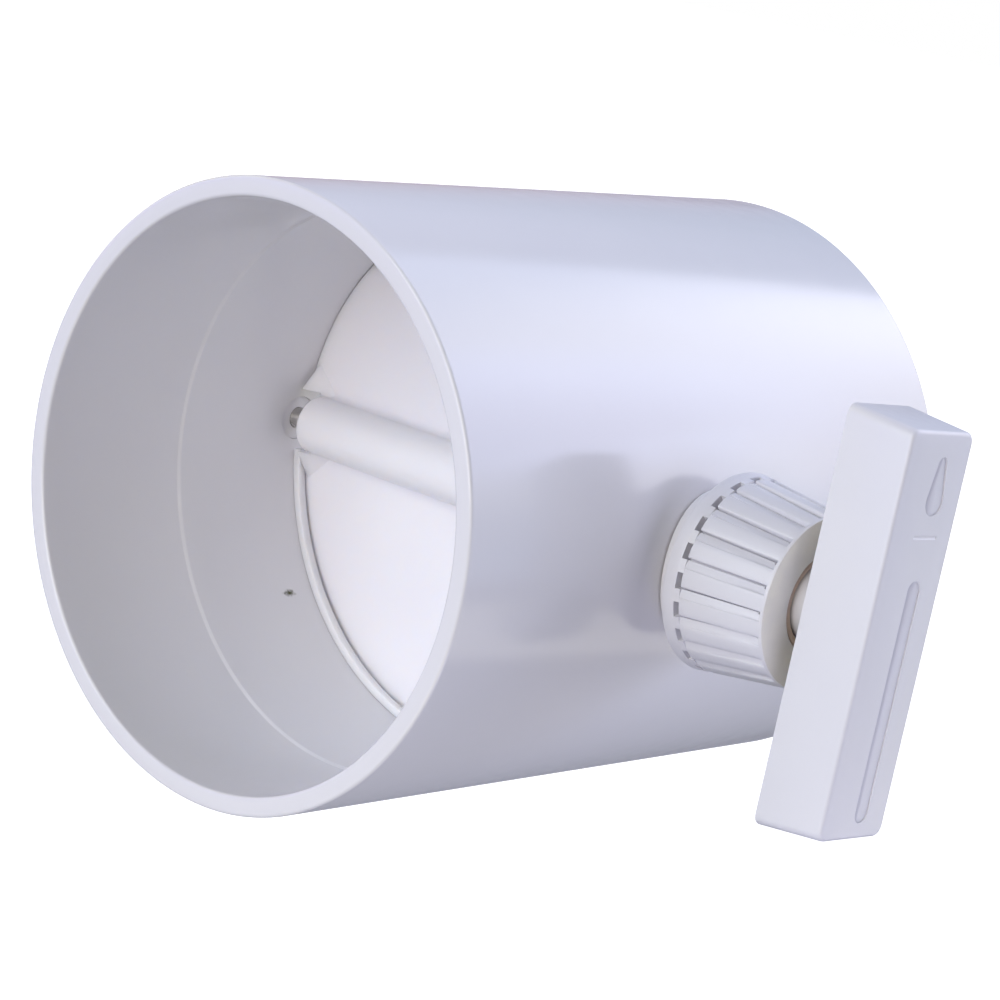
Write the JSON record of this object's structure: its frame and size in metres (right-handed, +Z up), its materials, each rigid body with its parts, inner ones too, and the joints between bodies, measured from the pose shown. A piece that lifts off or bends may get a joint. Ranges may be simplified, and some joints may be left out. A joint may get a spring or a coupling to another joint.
{
  "type": "manual duct damper",
  "caption": "Hand-set butterfly damper in a short round plastic duct pipe: a blade on a sleeve, turned by a box-shaped lever through a ribbed gland nut.",
  "frame": {"origin": "centre of the inlet end plane of the pipe", "axes": "+Y along the duct from inlet to outlet, +X along the blade's shaft out to the lever, +Z up"},
  "size_m": [0.1564, 0.13, 0.11],
  "materials": {
    "pipe_pvc": "smooth white extruded PVC with a soft gloss",
    "blade_pvc": "white moulded PVC, soft gloss",
    "moulded_white": "white moulded ABS, satin",
    "steel": "turned stainless steel",
    "packing_rubber": "black EPDM, matt",
    "acetal": "natural acetal",
    "felt": "beige felt"
  },
  "bodies": {
    "duct": {"duct_pipe": "pipe_pvc", "front_stop_rib": "pipe_pvc", "rear_stop_rib": "pipe_pvc", "pivot_bush": "moulded_white", "gland_body": "moulded_white", "gland_bush": "acetal", "packing_ring_inner": "packing_rubber", "packing_ring_outer": "packing_rubber", "gland_follower": "moulded_white"},
    "blade_assembly": {"damper_blade": "blade_pvc", "drive_shaft": "steel", "shaft_spacer": "acetal", "blade_screw_inner": "steel", "blade_screw_outer": "steel", "pivot_pin": "steel", "pivot_washer": "acetal", "lever": "moulded_white", "lever_grub_screw": "steel"},
    "slip_ring": {"slip_ring": "acetal"},
    "nut": {"gland_nut": "moulded_white", "nut_wiper_ring": "felt"}
  },
  "joints": [
    {"name": "blade_turn", "type": "hinge", "parent": "duct", "child": "blade_assembly", "pos_m": [0, 0.0631, 0], "axis": [1, 0, 0], "range_deg": [-1.3, 88.7]},
    {"name": "nut_advance", "type": "slide", "parent": "duct", "child": "slip_ring", "axis": [1, 0, 0], "range_m": [0, 0.00301]},
    {"name": "nut_turn", "type": "hinge", "parent": "slip_ring", "child": "nut", "pos_m": [0, 0.0631, 0], "axis": [1, 0, 0], "range_deg": [0, 540]}
  ],
  "couplings": [
    {"joint": "nut_advance", "follows": "nut_turn", "m_per_rad": 0.00031831}
  ]
}
